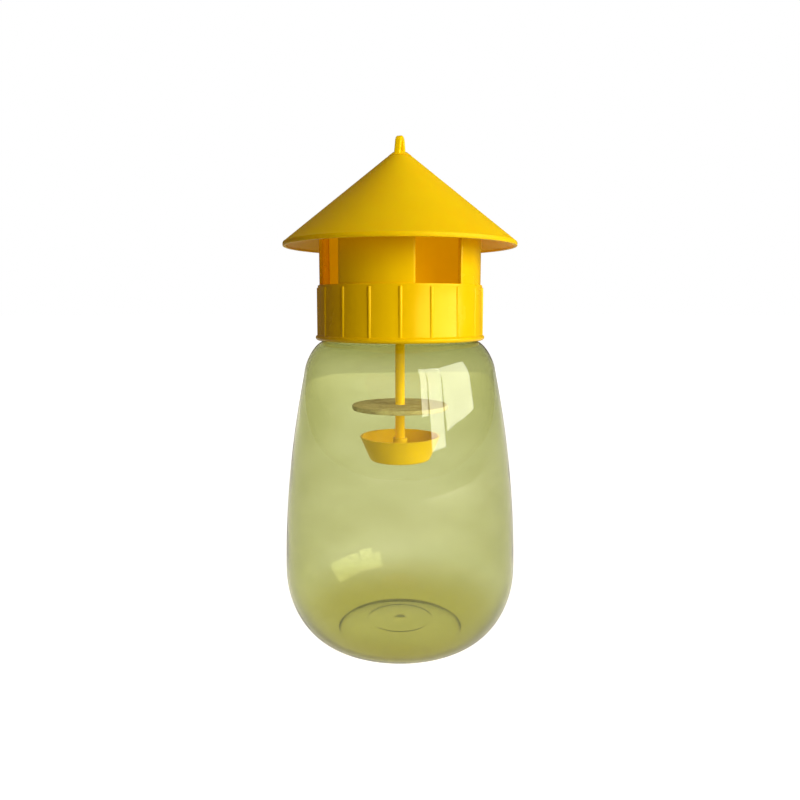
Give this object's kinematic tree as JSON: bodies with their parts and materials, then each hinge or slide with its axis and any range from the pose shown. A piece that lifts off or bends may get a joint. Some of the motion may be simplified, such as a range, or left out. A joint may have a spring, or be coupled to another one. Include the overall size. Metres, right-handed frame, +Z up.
{
  "type": "wasp trap",
  "caption": "Hanging wasp trap: clear screw jar, slotted collar under a conical roof with a loop, and a stem with disc and bait cup inside.",
  "frame": {"origin": "centre of the jar's standing ring, on the surface it stands on", "axes": "+Z up along the trap's axis, the hanging loop lies in the YZ plane, and the four entry windows face 45 degrees between X and Y"},
  "size_m": [0.1046, 0.1046, 0.2237],
  "materials": {
    "jar_plastic": "clear, tinted yellow-green",
    "collar_plastic": "glossy yellow",
    "funnel_plastic": "satin yellow",
    "roof_plastic": "glossy yellow",
    "loop_plastic": "glossy yellow",
    "stem_plastic": "satin yellow",
    "disc_fibre": "pressed fibre",
    "cup_plastic": "satin yellow"
  },
  "bodies": {
    "jar": {"jar": "jar_plastic"},
    "entry": {"entry_funnel": "funnel_plastic"},
    "lid": {"collar": "collar_plastic"},
    "top": {"roof": "roof_plastic", "hanging_loop": "loop_plastic"},
    "stem": {"stem": "stem_plastic"},
    "disc": {"attractant_disc": "disc_fibre"},
    "cup": {"bait_cup": "cup_plastic"}
  },
  "joints": [
    {"name": "lid_rise", "type": "slide", "parent": "jar", "child": "entry", "axis": [0, 0, 1], "range_m": [0, 0.0053]},
    {"name": "lid_turn", "type": "hinge", "parent": "entry", "child": "lid", "pos_m": [0, 0, 0.158], "axis": [0, 0, 1], "range_deg": [0, 450]},
    {"name": "roof_lift", "type": "slide", "parent": "lid", "child": "top", "axis": [0, 0, 1], "range_m": [0, 0.03]},
    {"name": "stem_pull", "type": "slide", "parent": "lid", "child": "stem", "axis": [0, 0, -1], "range_m": [0, 0.018]},
    {"name": "disc_slide", "type": "slide", "parent": "stem", "child": "disc", "axis": [0, 0, 1], "range_m": [0, 0.0252]},
    {"name": "cup_pull", "type": "slide", "parent": "stem", "child": "cup", "axis": [0, 0, -1], "range_m": [0, 0.018]}
  ],
  "couplings": [
    {"joint": "lid_rise", "follows": "lid_turn", "m_per_rad": 0.00066845}
  ]
}
